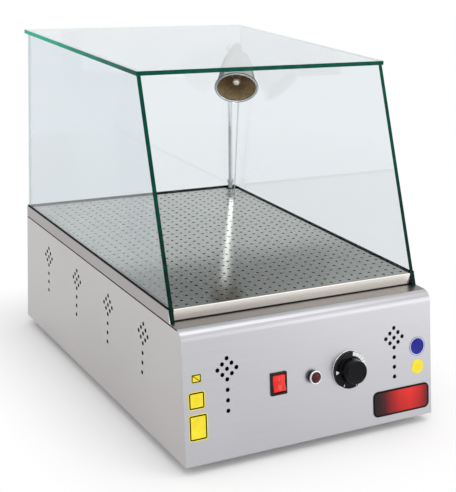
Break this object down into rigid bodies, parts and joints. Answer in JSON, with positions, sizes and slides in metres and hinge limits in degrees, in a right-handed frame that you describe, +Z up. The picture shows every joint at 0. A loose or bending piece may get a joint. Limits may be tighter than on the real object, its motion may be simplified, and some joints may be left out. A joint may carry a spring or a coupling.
{
  "type": "heated display case",
  "caption": "Countertop food warmer: heated base with perforated tray, thermostat and switch, under a glass case open at the front, with a small lamp.",
  "frame": {"origin": "on the table, under the middle of the whole case's box", "axes": "+X to the right seen from the open front, +Y to the back, +Z up"},
  "size_m": [0.4, 0.6202, 0.5],
  "materials": {
    "steel_brushed": "fine brushed stainless steel sheet",
    "steel_plain": "plain galvanised sheet",
    "tray_aluminium": "perforated aluminium with a satin face",
    "aluminium_plain": "mill finish",
    "case_glass": "clear float glass with polished green edges",
    "seal_black": "soft black glazing strip",
    "rubber_black": "moulded rubber",
    "plastic_black": "moulded",
    "plastic_red": "translucent red moulding",
    "knob_black": "black thermoset moulding",
    "pointer_white": "white filled mark",
    "lens_red": "faceted translucent lens",
    "chrome_ring": "bright plated",
    "zinc_screws": "zinc plated fasteners and fittings",
    "lamp_metal": "satin nickel finish",
    "ceramic_holder": "brown ceramic lamp holder",
    "bulb_glass": "clear lamp glass",
    "label_yellow": "blank yellow label film",
    "label_blue": "blank blue label film",
    "plate_dark": "blank dark printed plate",
    "thermostat_casing": "steatite and steel casing",
    "element_sheath": "heat-darkened steel sheath",
    "insulation_wool": "mineral wool",
    "copper_tube": "drawn copper",
    "brass_terminals": "tin-plated brass",
    "block_white": "moulded terminal block",
    "lead_insulation": "silicone insulation"
  },
  "bodies": {
    "root": {"fascia_deck": "steel_brushed", "side_panel_left": "steel_brushed", "side_panel_right": "steel_brushed", "back_panel": "steel_brushed", "base_plate": "steel_plain", "foot_front_left": "rubber_black", "foot_front_right": "rubber_black", "foot_back_left": "rubber_black", "foot_back_right": "rubber_black", "foot_screws": "zinc_screws", "back_panel_screws": "zinc_screws", "heater_well": "aluminium_plain", "heating_element": "element_sheath", "element_clips": "steel_plain", "insulation_jacket": "insulation_wool", "heat_shield": "steel_plain", "tray_rail_left": "steel_plain", "tray_rail_right": "steel_plain", "glass_left": "case_glass", "glass_right": "case_glass", "glass_back": "case_glass", "glass_top": "case_glass", "seal_left": "seal_black", "seal_right": "seal_black", "seal_back": "seal_black", "switch_body": "plastic_black", "terminal_blades": "brass_terminals", "indicator_body": "plastic_black", "indicator_ring": "chrome_ring", "indicator_lens": "lens_red", "indicator_nut": "zinc_screws", "thermostat_body": "thermostat_casing", "thermostat_screws": "zinc_screws", "dial_ring": "chrome_ring", "capillary_tube": "copper_tube", "sensing_bulb": "copper_tube", "labels_yellow": "label_yellow", "label_blue": "label_blue", "name_plate": "plate_dark", "cord_gland": "plastic_black", "gland_nut": "plastic_black", "terminal_block": "block_white", "base_leads": "lead_insulation", "heater_leads": "lead_insulation", "lamp_lead": "lead_insulation", "lamp_sleeve": "zinc_screws", "lamp_collar": "zinc_screws"},
    "knob": {"thermostat_knob": "knob_black", "knob_pointer": "pointer_white", "thermostat_shaft": "steel_plain"},
    "rocker": {"switch_rocker": "plastic_red"},
    "tray": {"perforated_tray": "tray_aluminium"},
    "lamp_post": {"lamp_stem": "lamp_metal", "lamp_knuckle": "lamp_metal", "lamp_pivot_screw": "zinc_screws"},
    "lamp_head": {"lamp_neck": "lamp_metal", "lamp_shade": "lamp_metal", "lamp_holder": "ceramic_holder", "lamp_bulb": "bulb_glass"}
  },
  "joints": [
    {"name": "knob_turn", "type": "hinge", "parent": "root", "child": "knob", "pos_m": [0.0568, -0.28692, 0.10041], "axis": [0, -0.9877, 0.1564], "range_deg": [-270, 0]},
    {"name": "rocker_tip", "type": "hinge", "parent": "root", "child": "rocker", "pos_m": [-0.0575, -0.28347, 0.09986], "axis": [1, 0, 0], "range_deg": [0, 14]},
    {"name": "tray_slide", "type": "slide", "parent": "root", "child": "tray", "axis": [0, -1, 0], "range_m": [0, 0.28]},
    {"name": "lamp_swivel", "type": "hinge", "parent": "root", "child": "lamp_post", "pos_m": [0.16754, 0.28423, 0.4575], "axis": [-0.0541, 0, 0.9985], "range_deg": [-35, 3]},
    {"name": "lamp_tilt", "type": "hinge", "parent": "lamp_post", "child": "lamp_head", "pos_m": [0.16754, 0.28423, 0.4575], "axis": [0.8829, -0.4695, 0], "range_deg": [-34, 3]}
  ]
}
